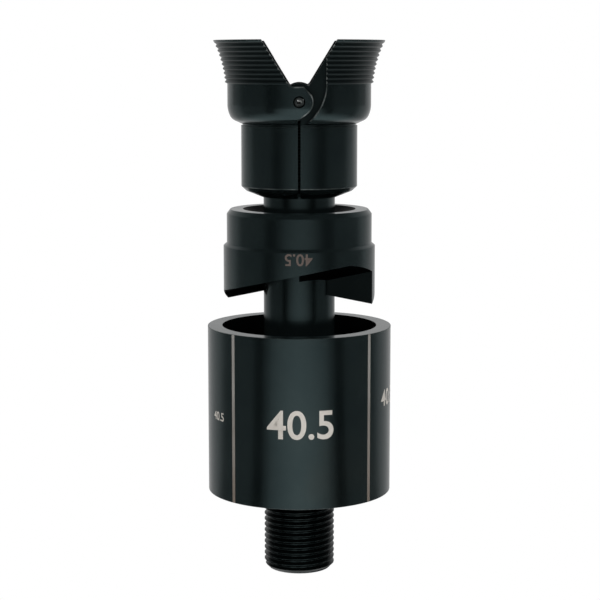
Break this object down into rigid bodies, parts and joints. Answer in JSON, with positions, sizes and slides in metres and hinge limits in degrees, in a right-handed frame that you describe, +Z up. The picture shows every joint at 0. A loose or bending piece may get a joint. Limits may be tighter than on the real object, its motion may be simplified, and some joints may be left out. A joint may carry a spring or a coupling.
{
  "type": "sheet metal hole punch",
  "caption": "Knockout punch and die on a threaded draw stud, held by a hinged split nut with spring-closed levers, for cutting round holes in sheet metal.",
  "frame": {"origin": "on the stud's axis in the plane of the driver's face, at the die's flat underside", "axes": "+Z up the stud towards the nut, +X to the right seen from the front, -Y towards the front, where the left half's outer hinge ear is"},
  "size_m": [0.0492, 0.0492, 0.1425],
  "materials": {
    "black_oxide_steel": "black oxide, satin",
    "black_oxide_thread": "black oxide, rolled thread",
    "bright_pin_steel": "bright ends on a dark pin",
    "spring_steel": "oiled spring wire"
  },
  "bodies": {
    "stud": {"draw_stud": "black_oxide_thread"},
    "die": {"die": "black_oxide_steel"},
    "punch": {"punch": "black_oxide_steel"},
    "hinge": {"hinge_pin_front": "bright_pin_steel", "hinge_pin_back": "bright_pin_steel", "lever_spring_front": "spring_steel", "lever_spring_back": "spring_steel"},
    "left_jaw": {"nut_left_half": "black_oxide_steel"},
    "right_jaw": {"nut_right_half": "black_oxide_steel"}
  },
  "joints": [
    {"name": "die_slide", "type": "slide", "parent": "stud", "child": "die", "axis": [0, 0, 1], "range_m": [0, 0.022]},
    {"name": "punch_slide", "type": "slide", "parent": "stud", "child": "punch", "axis": [0, 0, 1], "range_m": [-0.017, 0.0025]},
    {"name": "nut_lift", "type": "slide", "parent": "stud", "child": "hinge", "axis": [0, 0, 1], "range_m": [-0.0024, 0.024]},
    {"name": "left_jaw_hinge", "type": "hinge", "parent": "hinge", "child": "left_jaw", "pos_m": [0, 0, 0.10467], "axis": [0, 1, 0], "range_deg": [0, 12], "stiffness_Nm_per_rad": 0.05, "springref_deg": -20.05, "deforming": ["lever_spring_front", "lever_spring_back"]},
    {"name": "right_jaw_hinge", "type": "hinge", "parent": "hinge", "child": "right_jaw", "pos_m": [0, 0, 0.10467], "axis": [0, 1, 0], "range_deg": [-12, 0]}
  ],
  "couplings": [
    {"joint": "right_jaw_hinge", "follows": "left_jaw_hinge", "ratio": -1}
  ]
}
